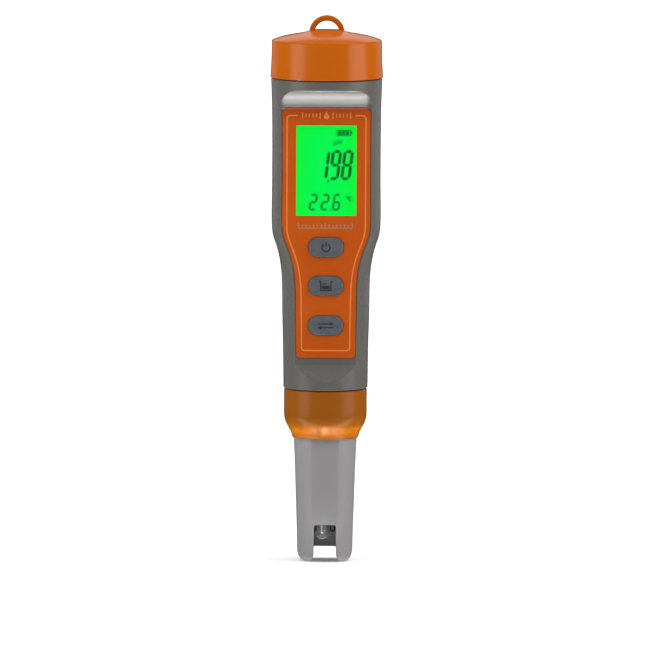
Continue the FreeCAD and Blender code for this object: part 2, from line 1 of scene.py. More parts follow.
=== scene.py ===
import json
import math

import bmesh
import bpy
from mathutils import Matrix, Vector


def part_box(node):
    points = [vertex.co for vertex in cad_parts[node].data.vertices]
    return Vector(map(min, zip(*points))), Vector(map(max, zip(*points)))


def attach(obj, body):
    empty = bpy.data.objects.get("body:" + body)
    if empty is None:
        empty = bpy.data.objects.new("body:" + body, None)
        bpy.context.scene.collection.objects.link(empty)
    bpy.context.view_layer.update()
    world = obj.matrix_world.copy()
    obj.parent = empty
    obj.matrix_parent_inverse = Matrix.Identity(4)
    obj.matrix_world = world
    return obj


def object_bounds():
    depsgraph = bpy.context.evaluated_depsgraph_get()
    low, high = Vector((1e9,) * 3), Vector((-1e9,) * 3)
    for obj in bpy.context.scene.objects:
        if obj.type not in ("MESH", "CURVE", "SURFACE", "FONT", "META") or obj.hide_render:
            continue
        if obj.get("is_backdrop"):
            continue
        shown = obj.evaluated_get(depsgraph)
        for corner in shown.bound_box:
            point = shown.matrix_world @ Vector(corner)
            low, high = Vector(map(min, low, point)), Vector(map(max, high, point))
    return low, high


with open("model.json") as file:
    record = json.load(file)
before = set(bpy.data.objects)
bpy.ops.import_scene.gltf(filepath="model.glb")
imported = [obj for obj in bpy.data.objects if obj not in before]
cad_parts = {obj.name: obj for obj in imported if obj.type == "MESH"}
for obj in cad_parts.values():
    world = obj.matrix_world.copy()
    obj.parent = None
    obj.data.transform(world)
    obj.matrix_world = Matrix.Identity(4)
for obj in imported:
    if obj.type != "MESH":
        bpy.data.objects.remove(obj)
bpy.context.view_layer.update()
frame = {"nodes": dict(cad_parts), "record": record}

MM = 0.001


# ---------------------------------------------------------------------------
# colour and node helpers
# ---------------------------------------------------------------------------
def lin(c):
    c = c / 255.0
    return c / 12.92 if c <= 0.04045 else ((c + 0.055) / 1.055) ** 2.4


def rgb(r, g, b):
    return (lin(r), lin(g), lin(b), 1.0)


def scaled(c, k):
    return (min(c[0] * k, 1.0), min(c[1] * k, 1.0), min(c[2] * k, 1.0), 1.0)


class Mat:
    """A small wrapper that adds and links nodes."""

    def __init__(self, name):
        self.m = bpy.data.materials.new(name)
        self.m.use_nodes = True
        self.nt = self.m.node_tree
        self.nt.nodes.clear()
        self.out = self.add("ShaderNodeOutputMaterial")
        self.tc = None

    def add(self, kind, **vals):
        n = self.nt.nodes.new(kind)
        for k, v in vals.items():
            setattr(n, k, v)
        return n

    def link(self, a, b):
        self.nt.links.new(a, b)

    def coords(self):
        if self.tc is None:
            self.tc = self.add("ShaderNodeTexCoord")
        return self.tc.outputs["Object"]

    def mapped(self, scale=(1, 1, 1), loc=(0, 0, 0), rot=(0, 0, 0)):
        n = self.add("ShaderNodeMapping")
        n.inputs["Scale"].default_value = scale
        n.inputs["Location"].default_value = loc
        n.inputs["Rotation"].default_value = rot
        self.link(self.coords(), n.inputs["Vector"])
        return n.outputs["Vector"]

    def noise(self, scale, detail=3.0, rough=0.55, vec=None, dist=0.0):
        n = self.add("ShaderNodeTexNoise")
        n.inputs["Scale"].default_value = scale
        n.inputs["Detail"].default_value = detail
        n.inputs["Roughness"].default_value = rough
        n.inputs["Distortion"].default_value = dist
        self.link(vec if vec is not None else self.coords(), n.inputs["Vector"])
        return n.outputs["Fac"]

    def maprange(self, v, a, b, c, d):
        n = self.add("ShaderNodeMapRange")
        n.inputs["From Min"].default_value = a
        n.inputs["From Max"].default_value = b
        n.inputs["To Min"].default_value = c
        n.inputs["To Max"].default_value = d
        self.link(v, n.inputs["Value"])
        return n.outputs["Result"]

    def math(self, op, a, b=None, clamp=False):
        n = self.add("ShaderNodeMath", operation=op, use_clamp=clamp)
        for i, v in enumerate((a, b)):
            if v is None:
                continue
            if isinstance(v, (int, float)):
                n.inputs[i].default_value = v
            else:
                self.link(v, n.inputs[i])
        return n.outputs["Value"]

    def mix(self, fac, a, b, blend="MIX"):
        n = self.add("ShaderNodeMix", data_type="RGBA", blend_type=blend)
        for sock, v in ((n.inputs[0], fac), (n.inputs[6], a), (n.inputs[7], b)):
            if isinstance(v, (int, float)):
                sock.default_value = v
            elif isinstance(v, tuple):
                sock.default_value = v
            else:
                self.link(v, sock)
        return n.outputs[2]

    def xyz(self):
        n = self.add("ShaderNodeSeparateXYZ")
        self.link(self.coords(), n.inputs["Vector"])
        return n.outputs

    def bump(self, height, strength, distance, prev=None):
        n = self.add("ShaderNodeBump")
        n.inputs["Strength"].default_value = strength
        n.inputs["Distance"].default_value = distance
        self.link(height, n.inputs["Height"])
        if prev is not None:
            self.link(prev, n.inputs["Normal"])
        return n.outputs["Normal"]

    def principled(self, color=None, rough=0.4, metallic=0.0, ior=1.5, spec=0.5,
                   normal=None, coat=0.0, coat_rough=0.1, transmission=0.0, alpha=1.0):
        n = self.add("ShaderNodeBsdfPrincipled")
        if isinstance(color, tuple):
            n.inputs["Base Color"].default_value = color
        elif color is not None:
            self.link(color, n.inputs["Base Color"])
        if isinstance(rough, (int, float)):
            n.inputs["Roughness"].default_value = rough
        else:
            self.link(rough, n.inputs["Roughness"])
        n.inputs["Metallic"].default_value = metallic
        n.inputs["IOR"].default_value = ior
        n.inputs["Specular IOR Level"].default_value = spec
        n.inputs["Coat Weight"].default_value = coat
        n.inputs["Coat Roughness"].default_value = coat_rough
        n.inputs["Transmission Weight"].default_value = transmission
        n.inputs["Alpha"].default_value = alpha
        if normal is not None:
            self.link(normal, n.inputs["Normal"])
        self.link(n.outputs["BSDF"], self.out.inputs["Surface"])
        return n


def plastic(name, base, rough=0.35, mottle=0.05, grain=0.12, grain_mm=0.35, spec=0.5,
            coat=0.0, coat_rough=0.08, scuff=0.06, wave=0.0):
    """Moulded plastic: slight tone drift, fine spark-eroded grain, faint scuffs."""
    m = Mat(name)
    tone = m.noise(55.0, 4.0, 0.6)
    fine = m.noise(1200.0, 2.0, 0.5)
    k = m.math("ADD", m.math("MULTIPLY", tone, 0.75), m.math("MULTIPLY", fine, 0.25))
    col = m.mix(m.maprange(k, 0.3, 0.7, 0.0, 1.0), scaled(base, 1 - mottle), scaled(base, 1 + mottle))
    # scuffs: thin stretched noise that lifts the roughness a little
    sv = m.mapped(scale=(900.0, 900.0, 60.0), rot=(0.3, 0.2, 0.0))
    sc = m.noise(1.0, 2.0, 0.5, vec=sv)
    scf = m.maprange(sc, 0.50, 0.80, 0.0, 1.0)
    patch = m.maprange(m.noise(60.0, 2.0), 0.40, 0.75, 0.0, 1.0)
    sf = m.math("MULTIPLY", scf, patch)
    rg = m.math("ADD", m.maprange(tone, 0.3, 0.7, rough - 0.012, rough + 0.012), m.math("MULTIPLY", sf, scuff))
    nrm = None
    if grain:
        g = m.noise(1.0 / (grain_mm * MM), 3.0, 0.6)
        nrm = m.bump(g, grain, grain_mm * MM * 0.12)
    if wave:
        w = m.noise(35.0, 1.0, 0.4)
        nrm = m.bump(w, wave, 0.0006, nrm)
    m.principled(col, rg, spec=spec, normal=nrm, coat=coat, coat_rough=coat_rough)
    return m.m


def metal(name, base, rough=0.3, brush=(1, 1, 40), spot=0.04, brush_str=0.15):
    m = Mat(name)
    v = m.mapped(scale=(brush[0] * 400.0, brush[1] * 400.0, brush[2] * 400.0))
    b = m.noise(1.0, 3.0, 0.6, vec=v)
    t = m.noise(220.0, 4.0, 0.6)
    col = m.mix(m.maprange(t, 0.3, 0.7, 0, 1), scaled(base, 1 - spot * 2), scaled(base, 1 + spot))
    rg = m.maprange(b, 0.25, 0.75, rough - 0.08, rough + 0.1)
    m.principled(col, rg, metallic=1.0, normal=m.bump(b, brush_str, 0.00003))
    return m.m


# ---------------------------------------------------------------------------
# materials
# ---------------------------------------------------------------------------
GREY = rgb(89, 87, 83)
CAP_O = rgb(176, 85, 0)
COLLAR_O = rgb(136, 75, 8)
OVER_O = rgb(196, 86, 20)

M = {}
M["housing_grey"] = plastic("housing_grey_plastic", GREY, rough=0.27, mottle=0.02, grain=0.07, grain_mm=0.30, scuff=0.0, spec=0.17)
M["cap_orange"] = plastic("cap_orange_plastic", CAP_O, rough=0.22, mottle=0.025, grain=0.08, grain_mm=0.35, scuff=0.03, spec=0.17)
M["collar_orange"] = plastic("collar_orange_plastic", COLLAR_O, rough=0.22, mottle=0.025, grain=0.08, grain_mm=0.35, scuff=0.03, spec=0.17)
M["probe_grey"] = plastic("probe_grey_plastic", rgb(130, 128, 129), rough=0.30, mottle=0.02, grain=0.06, grain_mm=0.25, scuff=0.0, spec=0.17)
M["frame_black"] = plastic("black_plastic", rgb(38, 38, 40), rough=0.45, mottle=0.08, grain=0.25, grain_mm=0.30)
M["lightguide_white"] = plastic("lightguide_plastic", rgb(225, 238, 228), rough=0.4, mottle=0.03, grain=0.2, grain_mm=0.5)
M["led_body"] = plastic("led_plastic", rgb(235, 232, 190), rough=0.25, mottle=0.05, grain=0.05)
M["chip_black"] = plastic("chip_epoxy", rgb(34, 34, 35), rough=0.55, mottle=0.1, grain=0.35, grain_mm=0.12)
M["plunger_plastic"] = plastic("plunger_plastic_mat", rgb(205, 190, 160), rough=0.4, mottle=0.04)
M["washer_nylon"] = plastic("washer_nylon_mat", rgb(226, 222, 206), rough=0.4, mottle=0.03)
M["ribbon_white"] = plastic("ribbon_film", rgb(222, 221, 214), rough=0.3, mottle=0.03, grain=0.03)
M["lead_red"] = plastic("lead_insulation", rgb(168, 26, 22), rough=0.35, mottle=0.05, grain=0.05)
M["potting_resin"] = plastic("potting_resin_mat", rgb(52, 50, 48), rough=0.2, mottle=0.08, grain=0.03, wave=0.4)
M["rubber_black"] = plastic("black_rubber", rgb(30, 30, 31), rough=0.62, mottle=0.12, grain=0.4, grain_mm=0.15, spec=0.35)
M["silicone_grey"] = plastic("grey_silicone", rgb(92, 94, 97), rough=0.5, mottle=0.05, grain=0.2, grain_mm=0.15)
M["junction_ceramic"] = plastic("porous_ceramic", rgb(214, 208, 192), rough=0.7, mottle=0.12, grain=0.7, grain_mm=0.10)

M["screw_steel"] = metal("zinc_steel", rgb(190, 190, 192), rough=0.32)
M["can_nickel"] = metal("nickel_can", rgb(200, 196, 186), rough=0.28)
M["contact_metal"] = metal("nickel_spring", rgb(208, 204, 194), rough=0.25, brush=(1, 40, 1))
M["gold_plate"] = metal("gold_plated", rgb(226, 184, 92), rough=0.22)
M["silver_wire"] = metal("silver_wire_mat", rgb(196, 194, 190), rough=0.35)
M["sensor_steel"] = metal("sensor_stainless", rgb(84, 84, 88), rough=0.48, brush=(1, 1, 10))


def overlay_material():
    """Screen-printed polyester: satin, with a fine print dot, and painted shade that darkens the sheet towards its top
    edge under the scoop.
    """
    m = Mat("overlay_print_and_painted_shade")
    tone = m.noise(40.0, 3.0, 0.5)
    dots = m.noise(3200.0, 1.0, 0.5)
    col = m.mix(m.maprange(tone, 0.3, 0.7, 0, 1), rgb(168, 69, 2), rgb(177, 75, 5))
    col = m.mix(m.maprange(dots, 0.35, 0.65, 0.0, 0.08), col, rgb(204, 96, 24))
    z = m.xyz()["Z"]
    # painted shade: a darker band across the sheet just below the scoop, where the overhang shades it
    col = m.mix(m.maprange(z, 0.1515, 0.1535, 0.0, 0.22), col, rgb(96, 36, 4))
    # painted shade: the sheet's top edge is darker still, and made rough so that it takes no highlight
    rim = m.maprange(z, 0.1548, 0.1553, 0.0, 1.0)
    col = m.mix(m.math("MULTIPLY", rim, 0.30), col, rgb(70, 26, 6))
    g = m.noise(2200.0, 2.0, 0.5)
    rg = m.math("MAXIMUM", m.maprange(g, 0.3, 0.7, 0.30, 0.37), m.math("MULTIPLY", rim, 0.9))
    m.principled(col, rg, spec=0.12, normal=m.bump(g, 0.12, 0.00002))
    return m.m


M["overlay_orange"] = overlay_material()


def key_material():
    m = Mat("key_silicone")
    tone = m.noise(260.0, 3.0, 0.55)
    g = m.noise(4200.0, 2.0, 0.5)
    col = m.mix(m.maprange(tone, 0.3, 0.7, 0, 1), rgb(76, 80, 85), rgb(86, 90, 94))
    m.principled(col, m.maprange(g, 0.3, 0.7, 0.32, 0.42), spec=0.2, normal=m.bump(g, 0.18, 0.00002))
    return m.m


M["key_grey"] = key_material()


def board_material():
    """Green solder mask with a faint pattern of tracks under it."""
    m = Mat("solder_mask")
    x, y, z = m.xyz()
    w1 = m.add("ShaderNodeTexBrick")
    v = m.mapped(scale=(1000.0, 1000.0, 1000.0), rot=(math.pi / 2, 0, 0))
    w1.offset = 0.37
    w1.inputs["Scale"].default_value = 0.28
    w1.inputs["Mortar Size"].default_value = 0.05
    w1.inputs["Brick Width"].default_value = 1.7
    w1.inputs["Row Height"].default_value = 0.32
    m.link(v, w1.inputs["Vector"])
    tr = w1.outputs["Fac"]
    tone = m.noise(90.0, 3.0)
    col = m.mix(m.maprange(tone, 0.3, 0.7, 0, 1), rgb(14, 92, 48), rgb(20, 108, 58))
    col = m.mix(m.math("MULTIPLY", tr, 0.6), col, rgb(40, 140, 72))
    m.principled(col, 0.28, normal=m.bump(tr, 0.3, 0.00003))
    return m.m


M["board_green"] = board_material()


def cell_material(name, z_lo, z_hi, plus_up):
    """Steel can under a printed sleeve; ends are bare nickel."""
    m = Mat(name)
    x, y, z = m.xyz()
    lo, hi = z_lo * MM, z_hi * MM
    bare = m.math("MAXIMUM", m.math("GREATER_THAN", z, hi - 1.15 * MM), m.math("LESS_THAN", z, lo + 1.15 * MM))
    a, b = (0.74, 1.0) if plus_up else (0.0, 0.26)
    t = m.maprange(z, lo, hi, 0.0, 1.0)
    band = m.math("MULTIPLY", m.math("GREATER_THAN", t, a), m.math("LESS_THAN", t, b))
    tone = m.noise(300.0, 3.0)
    ink = m.mix(band, rgb(32, 36, 44), rgb(186, 120, 48))
    ink = m.mix(m.maprange(tone, 0.3, 0.7, 0.0, 0.12), ink, rgb(90, 92, 96))
    col = m.mix(bare, ink, rgb(205, 202, 194))
    p = m.principled(col, m.maprange(tone, 0.3, 0.7, 0.2, 0.3), metallic=0.0, normal=m.bump(tone, 0.05, 0.00003))
    m.link(m.math("MULTIPLY", bare, 1.0), p.inputs["Metallic"])
    return m.m


def clear_window():
    m = Mat("clear_acrylic")
    t = m.noise(900.0, 2.0)
    m.principled((1.0, 1.0, 1.0, 1.0), m.maprange(t, 0.3, 0.7, 0.02, 0.045), ior=1.12, transmission=1.0)
    return m.m


def electrode_glass():
    m = Mat("electrode_glass_mat")
    t = m.noise(500.0, 2.0)
    m.principled(m.mix(m.maprange(t, 0.3, 0.7, 0, 1), (0.80, 0.84, 0.84, 1), (0.88, 0.91, 0.91, 1)),
                 m.maprange(t, 0.3, 0.7, 0.02, 0.05), ior=1.47, transmission=0.92)
    return m.m


def lcd_lit():
    """Back-lit liquid crystal: even green glow, a touch brighter near the lamps at the sides."""
    m = Mat("lcd_lit_green")
    x, y, z = m.xyz()
    ax = m.math("ABSOLUTE", x)
    edge = m.maprange(ax, 0.004, 0.0115, 0.0, 1.0)
    up = m.maprange(z, 0.146, 0.151, 0.0, 1.0)
    tone = m.noise(70.0, 3.0)
    col = m.mix(m.math("MULTIPLY", edge, 0.8), rgb(0, 246, 76), rgb(14, 242, 44))
    col = m.mix(m.math("MULTIPLY", up, 0.7), col, rgb(12, 240, 30))
    col = m.mix(m.maprange(tone, 0.3, 0.7, 0.0, 0.05), col, rgb(10, 225, 70))
    p = m.principled(rgb(0, 10, 4), 0.4, spec=0.0)
    m.link(col, p.inputs["Emission Color"])
    p.inputs["Emission Strength"].default_value = 1.0
    return m.m


M["window_clear"] = clear_window()
M["electrode_glass"] = electrode_glass()
M["lcd_green"] = lcd_lit()


def glow_ink(name, c, strength):
    """Switched segment: dark, but the lamp behind still shines through a little."""
    m = Mat(name)
    t = m.noise(700.0, 2.0)
    col = m.mix(m.maprange(t, 0.3, 0.7, 0.0, 1.0), scaled(c, 0.93), scaled(c, 1.07))
    p = m.principled(rgb(2, 12, 6), 0.4, spec=0.05)
    m.link(col, p.inputs["Emission Color"])
    p.inputs["Emission Strength"].default_value = strength
    return m.m


INK_BIG = glow_ink("lcd_segment_dark", rgb(10, 98, 40), 1.0)
INK_SMALL = glow_ink("lcd_segment_small", rgb(6, 122, 42), 1.0)
INK_FAINT = glow_ink("lcd_segment_faint", rgb(4, 140, 46), 1.0)
INK_GHOST = glow_ink("lcd_segment_off", rgb(8, 240, 86), 1.0)


def print_ink(name, c, rough=0.4, mottle=0.06, spec=0.15):
    m = Mat(name)
    t = m.noise(1500.0, 3.0, 0.6)
    col = m.mix(m.maprange(t, 0.3, 0.7, 0.0, 1.0), scaled(c, 1 - mottle), scaled(c, 1 + mottle))
    m.principled(col, m.maprange(t, 0.3, 0.7, rough - 0.05, rough + 0.06), spec=spec, normal=m.bump(t, 0.1, 0.00002))
    return m.m


INK_LINE = print_ink("print_light_orange", rgb(206, 112, 52))
INK_SCALE = print_ink("print_grey_brown", rgb(148, 116, 88))
INK_KEY = print_ink("print_key_dark", rgb(44, 42, 46), 0.5)


# ---------------------------------------------------------------------------
# CAD nodes get their materials
# ---------------------------------------------------------------------------
slot_of = {s["node"]: s["material_slot"] for s in frame["record"]["subparts"]}
for node, obj in frame["nodes"].items():
    if node.startswith("battery_cell_"):
        lo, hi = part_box(node)
        mat = cell_material(node + "_sleeve", lo[2] / MM, hi[2] / MM, node[-1] in "14")
    else:
        mat = M[slot_of[node]]
    if not obj.material_slots:
        obj.data.materials.append(mat)
    for s in obj.material_slots:
        s.material = mat


# ---------------------------------------------------------------------------
# flat printed shapes, pushed out by a few hundredths of a millimetre
# ---------------------------------------------------------------------------
def plate(name, polys, y_back, y_front, mat, body, axis="y"):
    """polys: closed outlines of (x, z) in mm, counter-clockwise seen from the front."""
    bm = bmesh.new()
    for poly in polys:
        if len(poly) < 3:
            continue
        area = sum(poly[i][0] * poly[(i + 1) % len(poly)][1] - poly[(i + 1) % len(poly)][0] * poly[i][1]
                   for i in range(len(poly)))
        p = list(poly) if area > 0 else list(reversed(poly))
        f = [bm.verts.new((x * MM, y_front * MM, z * MM)) for x, z in p]
        b = [bm.verts.new((x * MM, y_back * MM, z * MM)) for x, z in p]
        bm.faces.new(f)
        bm.faces.new(list(reversed(b)))
        n = len(p)
        for i in range(n):
            j = (i + 1) % n
            bm.faces.new((f[j], f[i], b[i], b[j]))
    bmesh.ops.triangulate(bm, faces=[f for f in bm.faces if len(f.verts) > 4])
    bmesh.ops.recalc_face_normals(bm, faces=bm.faces)
    me = bpy.data.meshes.new(name)
    bm.to_mesh(me)
    bm.free()
    ob = bpy.data.objects.new(name, me)
    bpy.context.collection.objects.link(ob)
    me.materials.append(mat)
    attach(ob, body)
    return ob


def stroke(points, width, closed=False):
    """Offsets a centre line both ways: a list of quads would leave seams, so it is one outline."""
    n = len(points)
    left, right = [], []
    for i in range(n):
        if closed:
            a, b, c = points[(i - 1) % n], points[i], points[(i + 1) % n]
        else:
            a, b, c = points[max(i - 1, 0)], points[i], points[min(i + 1, n - 1)]
        d1 = (b[0] - a[0], b[1] - a[1])
        d2 = (c[0] - b[0], c[1] - b[1])
        l1, l2 = math.hypot(*d1), math.hypot(*d2)
        if l1 < 1e-9:
            d1, l1 = d2, l2
        if l2 < 1e-9:
            d2, l2 = d1, l1
        n1 = (-d1[1] / l1, d1[0] / l1)
        n2 = (-d2[1] / l2, d2[0] / l2)
        m = (n1[0] + n2[0], n1[1] + n2[1])
        ml = math.hypot(*m) or 1.0
        m = (m[0] / ml, m[1] / ml)
        k = width / 2.0 / max(m[0] * n1[0] + m[1] * n1[1], 0.35)
        left.append((b[0] + m[0] * k, b[1] + m[1] * k))
        right.append((b[0] - m[0] * k, b[1] - m[1] * k))
    return left, right


def stroke_quads(points, width, closed=False):
    left, right = stroke(points, width, closed)
    n = len(points)
    out = []
    for i in range(n if closed else n - 1):
        j = (i + 1) % n
        out.append([left[i], left[j], right[j], right[i]])
    return out


def strip(name, paths, width, y_back, y_front, mat, body):
    """A printed line of even width, one closed solid per path."""
    bm = bmesh.new()
    for points, closed in paths:
        left, right = stroke(points, width, closed)
        n = len(points)
        L = [[bm.verts.new((x * MM, y * MM, z * MM)) for x, z in side]
             for side, y in ((left, y_front), (right, y_front), (left, y_back), (right, y_back))]
        lf, rf, lb, rb = L
        for i in range(n if closed else n - 1):
            j = (i + 1) % n
            bm.faces.new((lf[i], lf[j], rf[j], rf[i]))
            bm.faces.new((lb[i], rb[i], rb[j], lb[j]))
            bm.faces.new((lf[i], lb[i], lb[j], lf[j]))
            bm.faces.new((rf[i], rf[j], rb[j], rb[i]))
        if not closed:
            bm.faces.new((lf[0], rf[0], rb[0], lb[0]))
            bm.faces.new((lf[-1], lb[-1], rb[-1], rf[-1]))
    bmesh.ops.recalc_face_normals(bm, faces=bm.faces)
    me = bpy.data.meshes.new(name)
    bm.to_mesh(me)
    bm.free()
    ob = bpy.data.objects.new(name, me)
    bpy.context.collection.objects.link(ob)
    me.materials.append(mat)
    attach(ob, body)
    return ob


def circle(cx, cz, r, n=32, a0=0.0, a1=360.0):
    full = abs(a1 - a0) >= 359.9
    k = n if full else n + 1
    return [(cx + r * math.cos(math.radians(a0 + (a1 - a0) * i / n)),
             cz + r * math.sin(math.radians(a0 + (a1 - a0) * i / n))) for i in range(k)]


def rect(x0, z0, x1, z1):
    return [(x0, z0), (x1, z0), (x1, z1), (x0, z1)]


# -------- printed frame line on the front sheet --------
FRAME_HALF = [(72.0, 8.25), (80.0, 8.28), (90.0, 8.42), (95.0, 8.56), (97.5, 8.80), (100.2, 9.22),
              (103.5, 9.95), (107.5, 11.35), (110.5, 12.50), (112.5, 13.15), (114.2, 13.38),
              (117.0, 13.42), (156.0, 13.48)]
SHEET_Y = -10.40
PRINT_Y = SHEET_Y - 0.02


def frame_half(z):
    for (z0, h0), (z1, h1) in zip(FRAME_HALF, FRAME_HALF[1:]):
        if z <= z1:
            return h0 + (h1 - h0) * (z - z0) / (z1 - z0)
    return FRAME_HALF[-1][1]


def frame_side():
    """Right-hand side of the printed frame, from its foot up to its head."""
    raw = [(frame_half(z), z) for z in [73.0 + i * 0.5 for i in range(162)]]
    out = []
    for i, (x, z) in enumerate(raw):
        near = [raw[j][0] for j in range(max(0, i - 2), min(len(raw), i + 3))]
        out.append((sum(near) / len(near), z))
    return out


side = frame_side()
x_foot, x_head = side[0][0], side[-1][0]
z_foot, z_head, rc = 72.85, 153.35, 1.1


def quarter(cx, cz, r, a0, a1, n=6):
    return [(cx + r * math.cos(math.radians(a0 + (a1 - a0) * i / n)),
             cz + r * math.sin(math.radians(a0 + (a1 - a0) * i / n))) for i in range(n + 1)]


right = [p for p in side if z_foot + rc + 0.1 < p[1] < z_head - rc - 0.1]
path = [(9.9, z_head)]
path += list(reversed(quarter(x_head - rc, z_head - rc, rc, 0, 90)))
path += list(reversed(right))
path += list(reversed(quarter(x_foot - rc, z_foot + rc, rc, -90, 0)))
path += [(-p[0], p[1]) for p in reversed(path)]
strip("frame_line", [(path, False)], 0.50, SHEET_Y + 0.005, PRINT_Y, INK_LINE, "housing")

# -------- painted shadow: a dark strip in the gap round the edge of the sheet, where shade falls ---
sheet = frame["nodes"]["front_overlay"]
rim = {}
for v in sheet.data.vertices:
    x, y, z = v.co
    outside = z > 153.5 * MM or z < 72.5 * MM or abs(x) > (11.5 if z > 0.115 else 7.0) * MM
    if y < (SHEET_Y + 0.01) * MM and outside:
        rim[(round(x / MM, 3), round(z / MM, 3))] = math.atan2(z / MM - 118.0, x / MM)
rim = [p for p, a in sorted(rim.items(), key=lambda t: t[1])]
rim = [p for i, p in enumerate(rim) if math.hypot(p[0] - rim[i - 1][0], p[1] - rim[i - 1][1]) > 0.02]
out_l, out_r = stroke(rim, 0.12, True)
outer = out_l if abs(out_l[0][0]) + abs(out_l[0][1] - 118.0) > abs(out_r[0][0]) + abs(out_r[0][1] - 118.0) else out_r
# painted shadow: a thin dark brown strip laid in the gap stands in for the shade between sheet and pocket wall
SHEET_GAP_SHADOW = print_ink("painted_gap_shadow", rgb(60, 36, 22), 0.5)
strip("sheet_gap_painted_shadow", [(outer, True)], 0.10, -10.12, -10.36, SHEET_GAP_SHADOW, "housing")

# -------- mark above the display: a drop between two scale bars --------
drop = [(0.0, 155.0)]
for i in range(25):
    a = math.radians(52 - i * (284.0 / 24))
    drop.append((0.95 * math.cos(a), 153.0 + 0.95 * math.sin(a)))
marks = [drop]
for s in (-1, 1):
    for k in range(6):
        x = s * (2.2 + k * 1.2)
        h = 2.1 if k in (0, 5) else 1.3
        marks.append(rect(x - 0.22, 153.35 - h / 2, x + 0.22, 153.35 + h / 2))
plate("header_mark", marks, SHEET_Y + 0.005, PRINT_Y, INK_LINE, "housing")

# -------- small 0 to 14 tick scale under the display --------
ticks = [rect(-9.6, 114.68, 9.0, 114.93)]
for k in range(15):
    x = -9.5 + k * (18.4 / 14)
    h = 1.5 if k % 7 == 0 else (0.95 if k % 2 else 1.1)
    ticks.append(rect(x - 0.20, 115.0, x + 0.20, 115.0 + h))
plate("tick_scale", ticks, SHEET_Y + 0.005, PRINT_Y, INK_SCALE, "housing")

# ---------------------------------------------------------------------------
# what the display shows
# ---------------------------------------------------------------------------
GLASS_Y = -8.70
SEG_ON = "abcdefg"
DIGITS = {"0": "abcdef", "1": "bc", "2": "abged", "3": "abgcd", "4": "fgbc", "5": "afgcd",
          "6": "afgedc", "7": "abc", "8": "abcdefg", "9": "abcdfg"}


def seg_shapes(w, h, t, gap):
    """Seven hexagonal bars in a cell of w by h with stroke t."""
    m = h / 2.0
    g = gap

    def hor(zc, x0, x1):
        k = t / 2.0
        return [(x0 + g, zc), (x0 + g + k, zc + k), (x1 - g - k, zc + k), (x1 - g, zc),
                (x1 - g - k, zc - k), (x0 + g + k, zc - k)]

    def ver(xc, z0, z1):
        k = t / 2.0
        return [(xc, z0 + g), (xc + k, z0 + g + k), (xc + k, z1 - g - k), (xc, z1 - g),
                (xc - k, z1 - g - k), (xc - k, z0 + g + k)]

    k = t / 2.0
    return {
        "a": hor(h - k, k, w - k), "g": hor(m, k, w - k), "d": hor(k, k, w - k),
        "f": ver(k, m, h - k), "b": ver(w - k, m, h - k),
        "e": ver(k, k, m), "c": ver(w - k, k, m),
    }


def digit(ch, x0, z0, w, h, t, gap, slant):
    segs = seg_shapes(w, h, t, gap)
    on, off = [], []
    for name, poly in segs.items():
        p = [(x0 + x + slant * z, z0 + z) for x, z in poly]
        (on if name in DIGITS.get(ch, "") else off).append(p)
    return on, off


SL = math.tan(math.radians(7.0))
on_big, off_all = [], []
for ch, x0 in (("1", -3.32), ("9", 0.66), ("8", 4.66)):
    on, off = digit(ch, x0, 131.15, 3.55, 10.3, 1.06, 0.09, SL)
    on_big += on
    off_all += off
# decimal point, a small slanted comma
on_big.append([(0.36, 130.35), (0.92, 130.5), (1.02, 131.2), (0.44, 131.2)])
plate("display_main_value", on_big, GLASS_Y, GLASS_Y - 0.03, INK_BIG, "housing")

on_small = []
for ch, x0 in (("2", -6.15), ("2", -2.10), ("6", 1.86)):
    on, off = digit(ch, x0, 120.7, 2.68, 5.75, 0.72, 0.05, SL)
    on_small += on
    off_all += off
on_small.append(rect(1.30, 120.70, 1.75, 121.15))
# degree sign and C
deg = stroke_quads(circle(7.30, 125.35, 0.34, 16), 0.24, True)
cee = stroke_quads(circle(8.35, 124.75, 0.62, 14, 60, 300), 0.28)
plate("display_temperature", on_small, GLASS_Y, GLASS_Y - 0.03, INK_SMALL, "housing")
strip("display_units", [(circle(7.30, 125.30, 0.34, 20), True), (circle(8.38, 124.70, 0.66, 16, 55, 305), False)],
      0.36, GLASS_Y, GLASS_Y - 0.03, INK_FAINT, "housing")

# unlit segments, barely visible, as on a real cell
plate("display_unlit_segments", off_all, GLASS_Y, GLASS_Y - 0.012, INK_GHOST, "housing")

# battery symbol: outline, three bars and a nub
bx0, bx1, bz0, bz1 = 3.55, 8.35, 146.25, 148.35
batt = [rect(bx0, bz0, bx1, bz0 + 0.3), rect(bx0, bz1 - 0.3, bx1, bz1),
        rect(bx0, bz0 + 0.3, bx0 + 0.3, bz1 - 0.3), rect(bx1 - 0.3, bz0 + 0.3, bx1, bz1 - 0.3),
        rect(bx1 + 0.02, bz0 + 0.6, bx1 + 0.42, bz1 - 0.6)]
for k in range(3):
    x = bx0 + 0.42 + k * 1.3
    batt.append([(x, bz0 + 0.42), (x + 1.14, bz0 + 0.42), (x + 1.22, bz1 - 0.42), (x + 0.08, bz1 - 0.42)])
plate("display_battery_symbol", batt, GLASS_Y, GLASS_Y - 0.03, INK_BIG, "housing")

# the unit mark "pH", drawn with plain strokes
ph = [
    ([(2.55, 142.75), (2.55, 144.35)], False),
    ([(2.55, 144.2), (3.15, 144.3), (3.45, 143.95), (3.42, 143.6), (3.1, 143.35), (2.62, 143.4)], False),
    ([(4.05, 143.35), (4.05, 145.0)], False),
    ([(5.05, 143.35), (5.05, 145.0)], False),
    ([(4.05, 144.2), (5.05, 144.2)], False),
]
strip("display_unit_mark", ph[:4], 0.34, GLASS_Y, GLASS_Y - 0.03, INK_FAINT, "housing")
plate("display_unit_bar", [rect(4.22, 144.05, 4.88, 144.35)], GLASS_Y, GLASS_Y - 0.03, INK_FAINT, "housing")

# ---------------------------------------------------------------------------
# key symbols
# ---------------------------------------------------------------------------
KEY_Y = -11.15
kz = {"power": 108.3, "cal": 95.0, "mode": 81.4}
